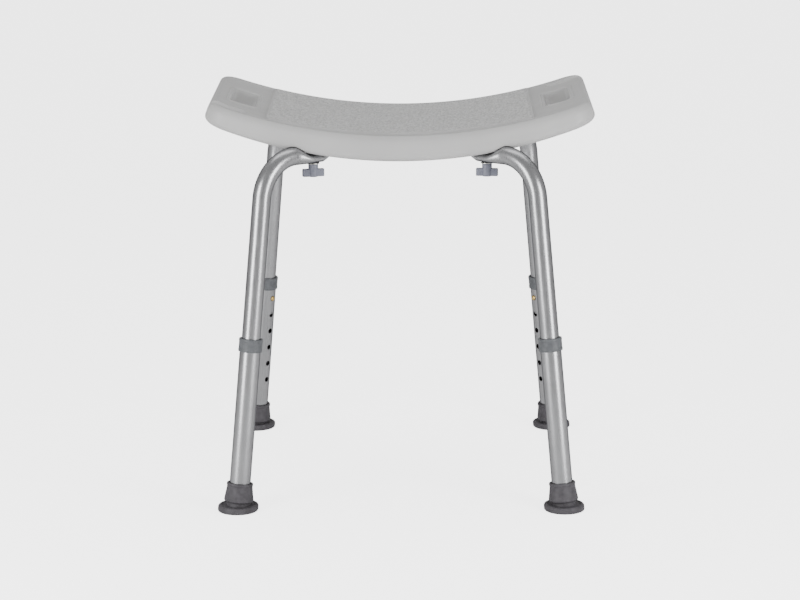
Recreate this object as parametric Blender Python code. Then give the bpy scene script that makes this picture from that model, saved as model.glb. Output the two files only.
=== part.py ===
"""Shower stool: hollow blow-moulded seat on four height-adjustable aluminium legs.

Metres, +Z up. The origin is on the floor under the middle of the seat, X is the seat's width
and the front faces -Y. The stool stands at its tallest setting.
"""

import math

import bmesh
import bpy
from mathutils import Matrix, Vector

GAP = 0.0003

# Seat: a slab bent on an arc across its width. s runs along the arc, h is depth below the top skin.
SEAT_WIDTH = 0.530
SEAT_DEPTH = 0.305
SEAT_THICKNESS = 0.0352
SEAT_TOP_RADIUS = 0.740
SEAT_TOP_Z = 0.502
SEAT_CORNER = 0.030
SEAT_EDGE_ROUND = 0.0115
SEAT_TAPER = 0.20
SEAT_WALL = 0.003
ARC_STEP = 0.0245
HALF_ARC = SEAT_TOP_RADIUS * math.asin(SEAT_WIDTH / 2 / (SEAT_TOP_RADIUS + 0.6 * SEAT_THICKNESS))

PANEL_HALF_LENGTH = 0.184
PANEL_FRONT_Y = -0.1265
PANEL_REAR_Y = 0.139
PANEL_RISE = 0.0012

HANDLE_MIDDLE = 0.220
HANDLE_WIDTH = 0.035
HANDLE_LENGTH = 0.110
HANDLE_CORNER = 0.006

GROOVE_MIDDLE_Y = 0.117
GROOVE_WIDTH = 0.026
GROOVE_INNER_END = 0.208
GROOVE_DEPTH = 0.007

BLOW_HOLE_RADIUS = 0.0025

# Legs: each lies in an upright plane through its fixing screw, turned LEG_AZIMUTH from X.
LEG_AZIMUTH = math.radians(42)
LEG_LEAN = math.atan(0.117)
FOOT_X = 0.222
FOOT_Y = 0.220
SCREW_X = 0.118
BEND_RADIUS = 0.058
BEND_STEPS = 6

TUBE_WALL = 0.0012
UPPER_RADIUS = 0.0127
LOWER_RADIUS = 0.0143
TUBE_SIDES = 16
TUBE_TOP_Z = 0.4885
FLAT_START = 0.0355
FLAT_HOLD = 0.0092
FLAT_SCREW_HALF = 0.00725
FLAT_TIP = -0.014
FLAT_TIP_HALF = 0.0052
FLAT_BOTTOM = -2 * UPPER_RADIUS
FLAT_TOP = FLAT_BOTTOM + 2 * FLAT_SCREW_HALF

HOLE_COUNT = 6
HOLE_SPACING = 0.0254
HOLE_RADIUS = 0.0036
TOP_HOLE_UP = 0.2061
UPPER_END_UP = 0.1811
LOWER_START_UP = 0.0118
LOWER_END_UP = 0.2315

COLLAR_RADIUS = 0.0164
COLLAR_START_UP = 0.2194
COLLAR_END_UP = 0.2373

BUTTON_RADIUS = 0.0033
BUTTON_REACH = 0.0168
BUTTON_FLANGE_FACE = 0.0102
BUTTON_FLANGE = 0.0008
SPRING_THICKNESS = 0.0006
SPRING_WIDTH = 0.009

CHANNEL_WIDTH = 0.0364
CHANNEL_INNER_END = -0.0165
CHANNEL_SLOPE_END = 0.027
CHANNEL_OUTER_END = 0.085
BOSS_RADIUS = 0.0095
INSERT_RADIUS = 0.0055
INSERT_LENGTH = 0.0125
STUD_RADIUS = 0.003

WASHER_RADIUS = 0.0085
WASHER_THICKNESS = 0.0012
KNOB_HEIGHT = 0.0176
KNOB_STEM_RADIUS = 0.0068
WING_LENGTH = 0.0300
WING_HEIGHT = 0.0112
WING_THICKNESS = 0.0078

FOOT_PAD_RADIUS = 0.0278
FOOT_HEIGHT_UP = 0.0385
FOOT_FLOOR_UP = 0.0095
FOOT_WASHER_THICKNESS = 0.0015

CORNERS = {"front_left": (-1, -1), "front_right": (1, -1), "rear_left": (-1, 1), "rear_right": (1, 1)}
WING_TURN = {"front_left": -28, "front_right": 35, "rear_left": 15, "rear_right": -40}


# ---------------------------------------------------------------- materials


def make_material(name, colour, roughness, metallic=0.0):
    material = bpy.data.materials.new(name)
    material.use_nodes = True
    shader = material.node_tree.nodes["Principled BSDF"]
    shader.inputs["Base Color"].default_value = (*colour, 1)
    shader.inputs["Roughness"].default_value = roughness
    shader.inputs["Metallic"].default_value = metallic
    return material


def make_materials():
    return {
        "seat_plastic": make_material("seat_plastic", (0.50, 0.50, 0.50), 0.50),
        "anodised_tube": make_material("anodised_tube", (0.66, 0.67, 0.68), 0.32, 1.0),
        "collar_plastic": make_material("collar_plastic", (0.19, 0.20, 0.21), 0.50),
        "knob_plastic": make_material("knob_plastic", (0.30, 0.31, 0.37), 0.50),
        "foot_rubber": make_material("foot_rubber", (0.12, 0.11, 0.12), 0.70),
        "brass": make_material("brass", (0.62, 0.43, 0.15), 0.35, 1.0),
        "zinc_steel": make_material("zinc_steel", (0.55, 0.55, 0.53), 0.35, 1.0),
    }


# ---------------------------------------------------------------- building blocks


def add_object(name, mesh, material, matrix=None):
    thing = bpy.data.objects.new(name, mesh)
    bpy.context.scene.collection.objects.link(thing)
    if material and not mesh.materials:
        mesh.materials.append(material)
    if matrix:
        thing.matrix_world = matrix
    return thing


def mesh_from(bm, name):
    """Close the bmesh into a mesh with its faces pointing out, shaded smooth up to 35 degrees."""
    bmesh.ops.recalc_face_normals(bm, faces=bm.faces)
    mesh = bpy.data.meshes.new(name)
    bm.to_mesh(mesh)
    bm.free()
    mesh.shade_smooth()
    mesh.set_sharp_from_angle(angle=math.radians(35))
    return mesh


def make_cutter(name, mesh, matrix=None):
    cutter = add_object(name, mesh, None, matrix)
    cutter.hide_render = True
    cutter.display_type = "WIRE"
    return cutter


def combine(thing, other, operation="DIFFERENCE"):
    modifier = thing.modifiers.new(other.name, "BOOLEAN")
    modifier.operation = operation
    modifier.solver = "EXACT"
    modifier.object = other


def revolved(name, profile, sides):
    """Turn an outline of (radius, height) points about Z. The outline is closed, or ends on the axis."""
    bm = bmesh.new()
    points = [bm.verts.new((radius, 0, height)) for radius, height in profile]
    edges = [bm.edges.new(pair) for pair in zip(points, points[1:])]
    if profile[0][0] > 0:
        edges.append(bm.edges.new((points[-1], points[0])))
    bmesh.ops.spin(bm, geom=points + edges, cent=(0, 0, 0), axis=(0, 0, 1), angle=2 * math.pi,
                   steps=sides, use_merge=True)
    bmesh.ops.remove_doubles(bm, verts=bm.verts, dist=1e-6)
    return mesh_from(bm, name)


def rod_mesh(name, radius, low, high, sides):
    return revolved(name, [(0, high), (radius, high), (radius, low), (0, low)], sides)


def box_mesh(name, low, high, bevel=0.0, segments=2):
    bm = bmesh.new()
    size = [high[axis] - low[axis] for axis in range(3)]
    middle = [(high[axis] + low[axis]) / 2 for axis in range(3)]
    bmesh.ops.create_cube(bm, size=1, matrix=Matrix.Translation(middle) @ Matrix.Diagonal((*size, 1)))
    if bevel:
        bmesh.ops.bevel(bm, geom=list(bm.edges), offset=bevel, segments=segments, affect="EDGES",
                        profile=0.5)
    return mesh_from(bm, name)


def prism_mesh(name, outline, width):
    """Extrude an outline of (x, z) points across Y, half of WIDTH to each side."""
    bm = bmesh.new()
    face = bm.faces.new([bm.verts.new((x, -width / 2, z)) for x, z in outline])
    made = bmesh.ops.extrude_face_region(bm, geom=[face])["geom"]
    moved = [item for item in made if isinstance(item, bmesh.types.BMVert)]
    bmesh.ops.translate(bm, vec=(0, width, 0), verts=moved)
    return mesh_from(bm, name)


def join_rings(bm, rings):
    for low, high in zip(rings, rings[1:]):
        for here in range(len(low)):
            after = (here + 1) % len(low)
            bm.faces.new((low[here], low[after], high[after], high[here]))


# ---------------------------------------------------------------- seat


def bent(s, y, h):
    """World place of a point of the seat: s along the top arc, y across, h above the top skin.

    Depths below the skin shrink toward the ends, where the seat is thinner.
    """
    angle = s / SEAT_TOP_RADIUS
    if h < 0:
        h *= 1 - SEAT_TAPER * (s / HALF_ARC) ** 2
    radius = SEAT_TOP_RADIUS - h
    return Vector((radius * math.sin(angle), y, SEAT_TOP_Z + SEAT_TOP_RADIUS - radius * math.cos(angle)))


def bent_slab(name, s_range, y_range, h_range, corner, edge_round=0.0, corner_segments=2, phase=0.5):
    """A slab with rounded corners and edges, modelled flat and then bent on the seat's arc.

    PHASE moves the lines it is bent at, a share of ARC_STEP, so that two slabs' facets cross cleanly.
    """
    bm = bmesh.new()
    length = s_range[1] - s_range[0]
    outline = rounded_rectangle(length / 2, (y_range[1] - y_range[0]) / 2, corner, corner_segments)
    middle = ((s_range[0] + s_range[1]) / 2, (y_range[0] + y_range[1]) / 2)
    bottom = [bm.verts.new((x + middle[0], y + middle[1], h_range[0])) for x, y in outline]
    floor = bm.faces.new(bottom)
    raised = bmesh.ops.extrude_face_region(bm, geom=[floor])["geom"]
    for vert in raised:
        if isinstance(vert, bmesh.types.BMVert):
            vert.co.z = h_range[1]
    if edge_round:
        rims = [edge for edge in bm.edges if abs(edge.verts[0].co.z - edge.verts[1].co.z) < 1e-9]
        bmesh.ops.bevel(bm, geom=rims, offset=edge_round, segments=3, affect="EDGES", profile=0.5)
    first, last = (math.ceil(end / ARC_STEP - phase) for end in s_range)
    for step in range(first, last):
        bmesh.ops.bisect_plane(bm, geom=bm.verts[:] + bm.edges[:] + bm.faces[:], dist=1e-6,
                               plane_co=((step + phase) * ARC_STEP, 0, 0), plane_no=(1, 0, 0))
    for vert in bm.verts:
        vert.co = bent(*vert.co)
    bmesh.ops.triangulate(bm, faces=bm.faces)
    return mesh_from(bm, name)


def rounded_rectangle(half_x, half_y, corner, segments):
    points = []
    for quarter, (sx, sy) in enumerate(((1, 1), (-1, 1), (-1, -1), (1, -1))):
        for step in range(segments + 1):
            angle = math.radians(90) * (quarter + step / segments)
            points.append((sx * (half_x - corner) + corner * math.cos(angle),
                           sy * (half_y - corner) + corner * math.sin(angle)))
    return points


def handle_cutter(side, grow):
    """A shaft through the slab near one end, square to its surface, for the fingers."""
    half = HANDLE_WIDTH / 2 + grow
    length = HANDLE_LENGTH / 2 + grow
    middle = side * HANDLE_MIDDLE
    return make_cutter(f"handle_cutter_{side}_{grow}", bent_slab(
        f"handle_cutter_{side}_{grow}", (middle - half, middle + half), (-length, length),
        (-2 * SEAT_THICKNESS, SEAT_THICKNESS), HANDLE_CORNER + grow))


def groove_cutter(side):
    """A finger-wide channel in the top skin that runs out over the end: a rest for a shower hose."""
    inner = side * GROOVE_INNER_END
    outer = side * (HALF_ARC + 0.04)
    middle_y = side * GROOVE_MIDDLE_Y
    return make_cutter(f"groove_cutter_{side}", bent_slab(
        f"groove_cutter_{side}", (min(inner, outer), max(inner, outer)),
        (middle_y - GROOVE_WIDTH / 2, middle_y + GROOVE_WIDTH / 2),
        (-GROOVE_DEPTH, 0.03), GROOVE_WIDTH / 2 - 0.0005, 0.004, 3))


def channel_cutter(corner, grow):
    """The trough in the underside that holds the leg's flat end, deeper where the tube is round."""
    name = f"channel_cutter_{corner}_{grow}"
    roof = GAP + grow
    outline = [(CHANNEL_INNER_END - grow, -0.08), (CHANNEL_OUTER_END, -0.08), (CHANNEL_OUTER_END, roof),
               (CHANNEL_SLOPE_END - grow, roof), (FLAT_HOLD - grow, FLAT_TOP + roof),
               (CHANNEL_INNER_END - grow, FLAT_TOP + roof)]
    mesh = prism_mesh(name, outline, CHANNEL_WIDTH + 2 * grow)
    return make_cutter(name, mesh, screw_frame(corner, TUBE_TOP_Z))


def make_cavity():
    """The air space inside the seat, which leaves a wall round every hole, trough and boss."""
    wall = SEAT_WALL
    cavity = make_cutter("seat_cavity", bent_slab(
        "seat_cavity", (-HALF_ARC + wall, HALF_ARC - wall),
        (-SEAT_DEPTH / 2 + wall, SEAT_DEPTH / 2 - wall), (-SEAT_THICKNESS + wall, -wall),
        SEAT_CORNER - wall, SEAT_EDGE_ROUND - wall, phase=0.25))
    for side in (-1, 1):
        combine(cavity, handle_cutter(side, wall))
        groove = make_cutter(f"groove_wall_{side}", bent_slab(
            f"groove_wall_{side}", (min(side * (GROOVE_INNER_END - wall), side * 0.32),
                                    max(side * (GROOVE_INNER_END - wall), side * 0.32)),
            (side * GROOVE_MIDDLE_Y - GROOVE_WIDTH / 2 - wall,
             side * GROOVE_MIDDLE_Y + GROOVE_WIDTH / 2 + wall),
            (-GROOVE_DEPTH - wall, 0.03), 0.008))
        combine(cavity, groove)
    for corner in CORNERS:
        combine(cavity, channel_cutter(corner, wall))
        boss = rod_mesh(f"boss_{corner}", BOSS_RADIUS, -0.02, 0.05, 12)
        combine(cavity, make_cutter(f"boss_{corner}", boss, screw_frame(corner, TUBE_TOP_Z)))
    return cavity


def make_seat(material):
    seat = add_object("seat", bent_slab(
        "seat", (-HALF_ARC, HALF_ARC), (-SEAT_DEPTH / 2, SEAT_DEPTH / 2), (-SEAT_THICKNESS, 0),
        SEAT_CORNER, SEAT_EDGE_ROUND, 4, phase=0.0), material)
    panel = make_cutter("seat_panel", bent_slab(
        "seat_panel", (-PANEL_HALF_LENGTH, PANEL_HALF_LENGTH), (PANEL_FRONT_Y, PANEL_REAR_Y),
        (-0.002, PANEL_RISE), 0.006))
    combine(seat, panel, "UNION")
    combine(seat, make_cavity())
    for side in (-1, 1):
        combine(seat, handle_cutter(side, 0.0))
        combine(seat, groove_cutter(side))
    for corner in CORNERS:
        combine(seat, channel_cutter(corner, 0.0))
        hole = rod_mesh(f"insert_hole_{corner}", INSERT_RADIUS + GAP, FLAT_TOP - 0.005,
                        FLAT_TOP + INSERT_LENGTH + 2 * GAP, 12)
        combine(seat, make_cutter(f"insert_hole_{corner}", hole, screw_frame(corner, TUBE_TOP_Z)))
    blow = rod_mesh("blow_hole", BLOW_HOLE_RADIUS, SEAT_TOP_Z - SEAT_THICKNESS - 0.01,
                    SEAT_TOP_Z - SEAT_THICKNESS / 2, 10)
    combine(seat, make_cutter("blow_hole", blow))


# ---------------------------------------------------------------- frames of the legs


def outward(corner):
    sign_x, sign_y = CORNERS[corner]
    return Vector((sign_x * math.cos(LEG_AZIMUTH), sign_y * math.sin(LEG_AZIMUTH), 0))


def foot_point(corner):
    sign_x, sign_y = CORNERS[corner]
    return Vector((sign_x * FOOT_X, sign_y * FOOT_Y, 0))


def frame_from(x_axis, z_axis, origin):
    y_axis = z_axis.cross(x_axis)
    rows = [(x_axis[row], y_axis[row], z_axis[row], origin[row]) for row in range(3)]
    return Matrix((*rows, (0, 0, 0, 1)))


def leg_frame(corner):
    """Z up along the leg from the floor, X square to it and pointing under the seat."""
    out = outward(corner)
    up = Vector((0, 0, 1))
    along = -out * math.sin(LEG_LEAN) + up * math.cos(LEG_LEAN)
    inward = -out * math.cos(LEG_LEAN) - up * math.sin(LEG_LEAN)
    return frame_from(inward, along, foot_point(corner))


SCREW_TO_FOOT = (FOOT_X - SCREW_X) / math.cos(LEG_AZIMUTH)


def screw_frame(corner, height):
    """X outward along the leg's plane, Z up, with its origin on the fixing screw's axis."""
    out = outward(corner)
    point = foot_point(corner) - out * SCREW_TO_FOOT
    return frame_from(out, Vector((0, 0, 1)), Vector((point.x, point.y, height)))


# ---------------------------------------------------------------- leg tubes


def tube_ring(bm, centre, tangent, half_side, half_thick, sides):
    """An oval ring in the leg's plane frame: Y is sideways, and the other way is square to the tube."""
    thick_way = Vector((-tangent.z, 0, tangent.x))
    ring = []
    for step in range(sides):
        angle = 2 * math.pi * step / sides
        offset = Vector((0, half_side * math.cos(angle), 0)) + thick_way * half_thick * math.sin(angle)
        ring.append(bm.verts.new(centre + offset))
    return ring


def upper_path():
    """Stations of (centre, tangent, half width, half height) in the screw frame, foot end first."""
    centre_z = -UPPER_RADIUS
    top_z = TUBE_TOP_Z - UPPER_RADIUS
    down = Vector((math.sin(LEG_LEAN), 0, -math.cos(LEG_LEAN)))
    corner = Vector((SCREW_TO_FOOT - top_z * math.tan(LEG_LEAN), 0, centre_z))
    turn = math.pi / 2 - LEG_LEAN
    reach = BEND_RADIUS * math.tan(turn / 2)
    round_shape = (UPPER_RADIUS, UPPER_RADIUS)
    foot_end = Vector((SCREW_TO_FOOT, 0, -TUBE_TOP_Z)) - down * UPPER_END_UP
    stations = [(foot_end, -down, *round_shape)]
    middle = Vector((corner.x - reach, 0, centre_z - BEND_RADIUS))
    for step in range(BEND_STEPS + 1):
        angle = turn * (1 - step / BEND_STEPS)
        point = middle + BEND_RADIUS * Vector((math.sin(angle), 0, math.cos(angle)))
        stations.append((point, Vector((-math.cos(angle), 0, math.sin(angle))), *round_shape))
    for place in (0.027, 0.018, FLAT_HOLD, -FLAT_HOLD, FLAT_TIP):
        half = flat_half_height(place)
        centre_z = FLAT_TOP - half if place == FLAT_TIP else FLAT_BOTTOM + half
        stations.append((Vector((place, 0, centre_z)), Vector((-1, 0, 0)), flat_half_width(half), half))
    return stations


def flat_half_height(place):
    """How far the tube is squashed between its bend and its tip. Its underside stays straight."""
    if place < -FLAT_HOLD:
        return FLAT_TIP_HALF
    if place <= FLAT_HOLD:
        return FLAT_SCREW_HALF
    share = (1 + math.cos(math.pi * (place - FLAT_HOLD) / (FLAT_START - FLAT_HOLD))) / 2
    return UPPER_RADIUS + (FLAT_SCREW_HALF - UPPER_RADIUS) * share


def flat_half_width(half_height):
    """An oval of the same girth as the round tube."""
    return math.sqrt(2 * UPPER_RADIUS ** 2 - half_height ** 2)


def upper_tube_mesh():
    bm = bmesh.new()
    skins = []
    for wall in (0.0, TUBE_WALL):
        skins.append([tube_ring(bm, centre, tangent, side - wall, thick - wall, TUBE_SIDES)
                      for centre, tangent, side, thick in upper_path()])
        join_rings(bm, skins[-1])
    for end in (0, -1):
        join_rings(bm, [skins[0][end], skins[1][end]])
    return mesh_from(bm, "upper_tube")


def make_upper_leg(corner, mesh, screw_hole, button_hole, material):
    leg = add_object(f"upper_leg_{corner}", mesh, material, screw_frame(corner, TUBE_TOP_Z))
    combine(leg, make_cutter(f"screw_hole_{corner}", screw_hole, screw_frame(corner, TUBE_TOP_Z)))
    combine(leg, make_cutter(f"button_hole_{corner}", button_hole, hole_frame(corner, 0)))


def lower_tube_mesh():
    outside = LOWER_RADIUS
    inside = LOWER_RADIUS - TUBE_WALL
    profile = [(outside, LOWER_END_UP), (outside, LOWER_START_UP), (inside, LOWER_START_UP),
               (inside, LOWER_END_UP)]
    return revolved("lower_tube", profile, TUBE_SIDES)


def hole_frame(corner, number):
    """Z points out through hole NUMBER of a leg, X up along the leg, counted from the top hole."""
    up = TOP_HOLE_UP - number * HOLE_SPACING
    return leg_frame(corner) @ Matrix.Translation((0, 0, up)) @ Matrix.Rotation(math.pi / 2, 4, "Y")


def make_lower_leg(corner, mesh, hole, material):
    leg = add_object(f"lower_leg_{corner}", mesh, material, leg_frame(corner))
    for number in range(HOLE_COUNT):
        combine(leg, make_cutter(f"adjust_hole_{corner}_{number}", hole, hole_frame(corner, number)))


# ---------------------------------------------------------------- small parts


def collar_mesh():
    """A sleeve over the lower tube's top with a lip that closes on the upper tube."""
    outside = COLLAR_RADIUS
    bore = LOWER_RADIUS + GAP
    throat = UPPER_RADIUS + GAP
    lip = LOWER_END_UP + GAP
    profile = [(outside - 0.0008, COLLAR_END_UP), (outside, COLLAR_END_UP - 0.0008),
               (outside, COLLAR_START_UP + 0.0006), (outside - 0.0006, COLLAR_START_UP),
               (bore, COLLAR_START_UP), (bore, lip), (throat, lip), (throat, COLLAR_END_UP)]
    return revolved("collar", profile, 20)


def button_mesh():
    """A snap button along Z: shank, dome outside the tubes and a flange inside the upper one."""
    dome = [(BUTTON_RADIUS * math.cos(angle), BUTTON_REACH - 0.0018 + 0.0018 * math.sin(angle))
            for angle in (math.radians(degrees) for degrees in (90, 60, 30, 0))]
    face = BUTTON_FLANGE_FACE
    flange_radius = BUTTON_RADIUS + 0.0008
    profile = [(0, dome[0][1]), *dome[1:], (BUTTON_RADIUS, face), (flange_radius, face),
               (flange_radius, face - BUTTON_FLANGE), (0, face - BUTTON_FLANGE)]
    return revolved("button", profile, 12)


def spring_mesh():
    """A leaf bent into a V: one arm lies behind the button, the other on the tube's far wall."""
    button_back = BUTTON_FLANGE_FACE - BUTTON_FLANGE - GAP
    far_wall = -BUTTON_FLANGE_FACE
    thick = SPRING_THICKNESS
    outline = [(0.006, button_back), (-0.006, button_back), (-0.019, 0.002), (-0.021, 0.0),
               (-0.019, -0.002), (0.004, far_wall), (0.004, far_wall + thick), (-0.0185, -0.0012),
               (-0.020, 0.0), (-0.0185, 0.0012), (-0.0055, button_back - thick),
               (0.006, button_back - thick)]
    return prism_mesh("button_spring", outline, SPRING_WIDTH)


def foot_mesh():
    """A rubber cup on the leg's lean, a narrow neck, and a pad that lies level on the floor."""
    pad = FOOT_PAD_RADIUS
    bore = LOWER_RADIUS + GAP
    top = FOOT_HEIGHT_UP
    outline = [(pad - 0.0014, 0.0, 0), (pad, 0.0013, 0), (pad, 0.0067, 0), (pad - 0.0016, 0.0085, 0),
               (0.0186, 0.0095, 0), (0.0180, 0.0110, 0.5), (0.0199, 0.0130, 1), (0.0199, 0.0150, 1),
               (0.0174, top - 0.0040, 1), (0.0180, top - 0.0032, 1), (0.0180, top - 0.0008, 1),
               (0.0173, top, 1), (bore, top, 1), (bore, FOOT_FLOOR_UP, 1)]
    bm = bmesh.new()
    rings = [foot_ring(bm, radius, up, share) for radius, up, share in outline]
    join_rings(bm, rings)
    bm.faces.new(rings[0])
    bm.faces.new(rings[-1])
    return mesh_from(bm, "foot")


def foot_ring(bm, radius, up, share, sides=20):
    """A ring round the leg's axis, tilted by SHARE of the lean. World axes, leaning toward -X."""
    tilt = Matrix.Rotation(-share * LEG_LEAN, 3, "Y")
    centre = Vector((-math.sin(LEG_LEAN), 0, math.cos(LEG_LEAN))) * up
    if not share:
        centre = Vector((-math.tan(LEG_LEAN) * up, 0, up))
    return [bm.verts.new(centre + tilt @ Vector((radius * math.cos(angle), radius * math.sin(angle), 0)))
            for angle in (2 * math.pi * step / sides for step in range(sides))]


def foot_frame(corner):
    return frame_from(outward(corner), Vector((0, 0, 1)), foot_point(corner))


def foot_washer_mesh():
    low = FOOT_FLOOR_UP + GAP
    high = low + FOOT_WASHER_THICKNESS
    outside = LOWER_RADIUS - GAP
    return revolved("foot_washer", [(outside, high), (outside, low), (0.004, low), (0.004, high)], 20)


def insert_mesh():
    """A threaded sleeve moulded into the seat above the leg's flat end."""
    bore = STUD_RADIUS + GAP
    low = FLAT_TOP + 2 * GAP
    high = FLAT_TOP + INSERT_LENGTH + GAP
    return revolved("insert", [(INSERT_RADIUS, high), (INSERT_RADIUS, low), (bore, low), (bore, high)], 12)


WASHER_TOP = FLAT_BOTTOM - GAP
KNOB_TOP = WASHER_TOP - WASHER_THICKNESS - GAP
KNOB_BOTTOM = KNOB_TOP - KNOB_HEIGHT


def washer_mesh():
    inside = STUD_RADIUS + 2 * GAP
    low = WASHER_TOP - WASHER_THICKNESS
    return revolved("washer", [(WASHER_RADIUS, WASHER_TOP), (WASHER_RADIUS, low), (inside, low),
                               (inside, WASHER_TOP)], 16)


def stud_mesh():
    low = KNOB_BOTTOM + 0.005
    high = FLAT_TOP + INSERT_LENGTH - 0.001
    radius = STUD_RADIUS
    return revolved("stud", [(0, high), (radius - 0.0008, high), (radius, high - 0.0008), (radius, low),
                             (0, low)], 12)


def knob_stem_mesh():
    """The knob's round stem, with a blind socket for the stud."""
    radius = KNOB_STEM_RADIUS
    socket = STUD_RADIUS + GAP
    floor = KNOB_BOTTOM + 0.005 - GAP
    profile = [(0, floor), (socket, floor), (socket, KNOB_TOP), (radius - 0.0006, KNOB_TOP),
               (radius, KNOB_TOP - 0.0006), (radius, KNOB_BOTTOM + 0.0012),
               (radius - 0.0012, KNOB_BOTTOM), (0, KNOB_BOTTOM)]
    return revolved("knob_stem", profile, 16)


def make_knob(corner, stem, wing, material):
    """Two wings stand out from the stem's lower half, one on each side."""
    turned = screw_frame(corner, TUBE_TOP_Z) @ Matrix.Rotation(math.radians(WING_TURN[corner]), 4, "Z")
    knob = add_object(f"knob_{corner}", stem, material, turned)
    for side in (-1, 1):
        half_turn = Matrix.Rotation(math.pi * (side > 0), 4, "Z")
        wings = make_cutter(f"wing_{corner}_{side}", wing, turned @ half_turn)
        combine(knob, wings, "UNION")


def wing_mesh():
    half = WING_THICKNESS / 2
    inner = STUD_RADIUS + GAP + 0.001
    return box_mesh("wing", (inner, -half, KNOB_BOTTOM + 0.0003),
                    (WING_LENGTH / 2, half, KNOB_BOTTOM + WING_HEIGHT), bevel=0.0014, segments=1)


# ---------------------------------------------------------------- assembly


def make_legs(materials):
    tube = upper_tube_mesh()
    lower = lower_tube_mesh()
    screw_hole = rod_mesh("screw_hole", STUD_RADIUS + 0.0007, -0.03, 0.01, 12)
    button_hole = rod_mesh("button_hole", BUTTON_RADIUS + GAP, 0.004, 0.02, 12)
    adjust_hole = rod_mesh("adjust_hole", HOLE_RADIUS, 0.004, 0.02, 12)
    for corner in CORNERS:
        make_upper_leg(corner, tube, screw_hole, button_hole, materials["anodised_tube"])
        make_lower_leg(corner, lower, adjust_hole, materials["anodised_tube"])


def make_small_parts(materials):
    collar = collar_mesh()
    button = button_mesh()
    spring = spring_mesh()
    foot = foot_mesh()
    foot_washer = foot_washer_mesh()
    insert = insert_mesh()
    washer = washer_mesh()
    stud = stud_mesh()
    stem = knob_stem_mesh()
    wing = wing_mesh()
    for corner in CORNERS:
        screw = screw_frame(corner, TUBE_TOP_Z)
        add_object(f"collar_{corner}", collar, materials["collar_plastic"], leg_frame(corner))
        add_object(f"button_{corner}", button, materials["brass"], hole_frame(corner, 0))
        add_object(f"button_spring_{corner}", spring, materials["zinc_steel"], hole_frame(corner, 0))
        add_object(f"foot_{corner}", foot, materials["foot_rubber"], foot_frame(corner))
        add_object(f"foot_washer_{corner}", foot_washer, materials["zinc_steel"], leg_frame(corner))
        add_object(f"insert_{corner}", insert, materials["brass"], screw)
        add_object(f"washer_{corner}", washer, materials["zinc_steel"], screw)
        add_object(f"stud_{corner}", stud, materials["zinc_steel"], screw)
        make_knob(corner, stem, wing, materials["knob_plastic"])


def main():
    for thing in list(bpy.data.objects):
        bpy.data.objects.remove(thing)
    materials = make_materials()
    make_seat(materials["seat_plastic"])
    make_legs(materials)
    make_small_parts(materials)


main()
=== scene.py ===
"""Looks of the shower stool: fine surfaces, materials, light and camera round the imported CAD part.

Metres, +Z up, in the CAD frame: the origin is on the floor under the middle of the seat and the
front faces -Y.
"""

import math

import bmesh
import bpy
import numpy as np
from mathutils import Matrix, Vector
from mathutils.geometry import delaunay_2d_cdt


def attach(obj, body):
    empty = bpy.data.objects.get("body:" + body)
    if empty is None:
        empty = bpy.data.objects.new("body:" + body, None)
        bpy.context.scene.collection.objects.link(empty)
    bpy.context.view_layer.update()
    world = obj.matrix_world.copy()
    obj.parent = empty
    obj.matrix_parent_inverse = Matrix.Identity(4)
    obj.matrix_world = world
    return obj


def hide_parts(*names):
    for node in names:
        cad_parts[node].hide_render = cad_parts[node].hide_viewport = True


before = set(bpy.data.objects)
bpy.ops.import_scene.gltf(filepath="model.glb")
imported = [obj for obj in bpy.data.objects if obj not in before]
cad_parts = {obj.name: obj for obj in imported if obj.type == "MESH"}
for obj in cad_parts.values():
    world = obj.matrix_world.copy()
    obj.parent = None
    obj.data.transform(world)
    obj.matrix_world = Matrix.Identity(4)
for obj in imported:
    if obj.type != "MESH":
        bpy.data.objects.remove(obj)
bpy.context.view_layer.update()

GAP = 0.0003

# Seat, in the coordinates of its arc: s along the arc, y across, h above the top skin.
SEAT_WIDTH = 0.530
SEAT_DEPTH = 0.305
SEAT_THICKNESS = 0.0352
SEAT_TOP_RADIUS = 0.740
SEAT_TOP_Z = 0.502
SEAT_CORNER = 0.030
SEAT_TAPER = 0.20
# The fine seat ends this much short of the CAD seat, whose facets lie inside the true curve.
END_TRIM = 0.0007
WIDEST_RADIUS = SEAT_TOP_RADIUS + 0.6 * SEAT_THICKNESS
HALF_ARC = SEAT_TOP_RADIUS * math.asin(SEAT_WIDTH / 2 / WIDEST_RADIUS) - END_TRIM
EDGE_DROP = 0.0115
EDGE_TOP_REACH = 0.0090
EDGE_BOTTOM_REACH = 0.0115
EDGE_STEPS = 9
WALL_ROWS = 5
OUTLINE_STEP = 0.0026
COARSE_STEP = 0.0035
LEAST_GAP = 0.00035
NEEDLE_HOLE_RADIUS = 0.0025
NEEDLE_HOLE_DEPTH = 0.004

PANEL_HALF_LENGTH = 0.184
PANEL_FRONT_Y = -0.1265
PANEL_REAR_Y = 0.139
PANEL_CORNER = 0.005
BEAD_WIDTH = 0.0030
BEAD_HEIGHT = 0.0014
PLATEAU_RISE = 0.0003
PEBBLE_HEIGHT = 0.0013
PEBBLE_SIZE = 0.0050
PEBBLE_SEED = 11
PEBBLE_LOWEST = 0.35
PANEL_STEP = 0.00105
DISH_DEPTH = 0.0018
DISH_REACH = 0.0165

HANDLE_MIDDLE = 0.220
HANDLE_WIDTH = 0.035
HANDLE_LENGTH = 0.110
HANDLE_CORNER = 0.006
HANDLE_RIM = 0.0036
HANDLE_RIM_SLOPE = 0.75
HANDLE_LIP = 0.0030
HANDLE_LIP_HEIGHT = 0.0011
HANDLE_LOWER_RIM = 0.0015
HANDLE_LOWER_SLOPE = 0.8

GROOVE_MIDDLE_Y = 0.117
GROOVE_WIDTH = 0.026
GROOVE_CORNER = GROOVE_WIDTH / 2 - 0.0005
GROOVE_INNER_END = 0.208
GROOVE_DEPTH = 0.007

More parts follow.
